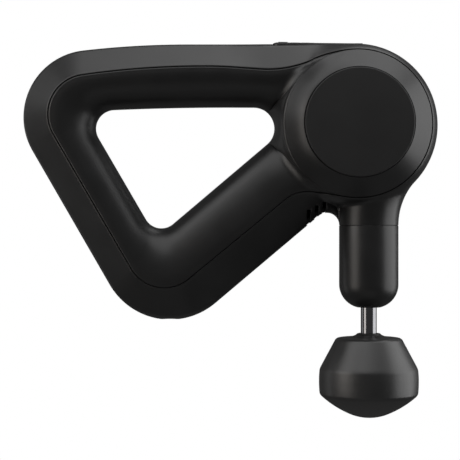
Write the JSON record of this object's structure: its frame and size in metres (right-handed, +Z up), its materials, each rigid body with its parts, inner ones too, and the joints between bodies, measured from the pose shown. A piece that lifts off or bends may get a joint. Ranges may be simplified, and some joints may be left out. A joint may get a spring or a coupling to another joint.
{
  "type": "massage gun",
  "caption": "Cordless massage gun: three-sided loop grip, drum motor head, reciprocating output shaft and a push-on round foam attachment, with its crank drive and battery inside.",
  "frame": {"origin": "centre of the overall envelope, on the middle plane between the two halves of the housing", "axes": "+Z up with the output shaft pointing down, +X from the grip to the head, +Y towards the rear half"},
  "size_m": [0.2438, 0.068, 0.2217],
  "materials": {
    "soft_black": "soft-touch satin",
    "cap_black": "fine matt",
    "core_black": "matt",
    "pad_black": "satin",
    "button": "satin",
    "lens": "gloss",
    "chip": "matt",
    "connector": "matt",
    "capacitor": "gloss",
    "board": "solder mask",
    "cell_wrap": "shrink film",
    "lead_red": "insulation",
    "lead_yellow": "insulation",
    "ribbon": "insulation",
    "black_rubber": "matt",
    "foam": "closed-cell skin",
    "cast_alloy": "die-cast",
    "bronze": "sintered",
    "copper": "enamelled",
    "steel": "machined",
    "dark_steel": "blackened",
    "magnet": "nickel plated",
    "bright_steel": "polished",
    "contact": "plated",
    "nickel": "bright"
  },
  "bodies": {
    "body": {"outer_band": "soft_black", "front_shell": "soft_black", "rear_shell": "soft_black", "front_cap": "cap_black", "rear_cap": "cap_black", "nose_sleeve": "soft_black", "shaft_wiper": "black_rubber", "drive_frame": "cast_alloy", "guide_bushes": "bronze", "neck_isolators": "black_rubber", "frame_pads": "black_rubber", "front_shell_screws": "dark_steel", "rear_shell_screws": "dark_steel", "stator_core": "steel", "stator_windings": "copper", "motor_bearings": "steel", "main_board": "board", "board_capacitors": "capacitor", "board_chips": "chip", "board_connectors": "connector", "control_pad": "pad_black", "display_lens": "lens", "display_module": "chip", "panel_board": "board", "switch_domes": "steel", "charge_collar": "pad_black", "charge_jack": "pad_black", "charge_pin": "contact", "battery_cells": "cell_wrap", "cell_holders": "core_black", "cell_links": "nickel", "battery_board": "board", "battery_lead": "lead_red", "panel_ribbon": "ribbon", "motor_leads": "lead_yellow"},
    "crank": {"rotor_bell": "steel", "rotor_magnets": "magnet", "motor_shaft": "steel", "crank_disc": "steel", "crank_pin": "steel", "crank_roller": "steel"},
    "slider": {"yoke": "cast_alloy", "yoke_pin": "steel", "output_shaft": "bright_steel", "grip_rings": "black_rubber"},
    "attachment": {"attachment_core": "core_black", "attachment_foam": "foam"},
    "power": {"power_button": "button"},
    "speed_up": {"speed_up_button": "button"},
    "speed_down": {"speed_down_button": "button"}
  },
  "joints": [
    {"name": "crank_turn", "type": "hinge", "parent": "body", "child": "crank", "pos_m": [0.0819, 0.008, 0.0613], "axis": [0, -1, 0], "range_deg": [-90, 90]},
    {"name": "shaft_stroke", "type": "slide", "parent": "body", "child": "slider", "axis": [0, 0, 1], "range_m": [-0.008, 0.008]},
    {"name": "attachment_pull", "type": "slide", "parent": "slider", "child": "attachment", "axis": [0, 0, -1], "range_m": [0, 0.03]},
    {"name": "power_button_press", "type": "slide", "parent": "body", "child": "power", "axis": [0, 0, -1], "range_m": [0, 0.0005], "stiffness_N_per_m": 2000, "springref_m": -0.0005},
    {"name": "speed_up_press", "type": "slide", "parent": "body", "child": "speed_up", "axis": [0, 0, -1], "range_m": [0, 0.0005], "stiffness_N_per_m": 2000, "springref_m": -0.0005},
    {"name": "speed_down_press", "type": "slide", "parent": "body", "child": "speed_down", "axis": [0, 0, -1], "range_m": [0, 0.0005], "stiffness_N_per_m": 2000, "springref_m": -0.0005}
  ],
  "couplings": [
    {"joint": "shaft_stroke", "follows": "crank_turn", "m_per_rad": 0.005093}
  ]
}
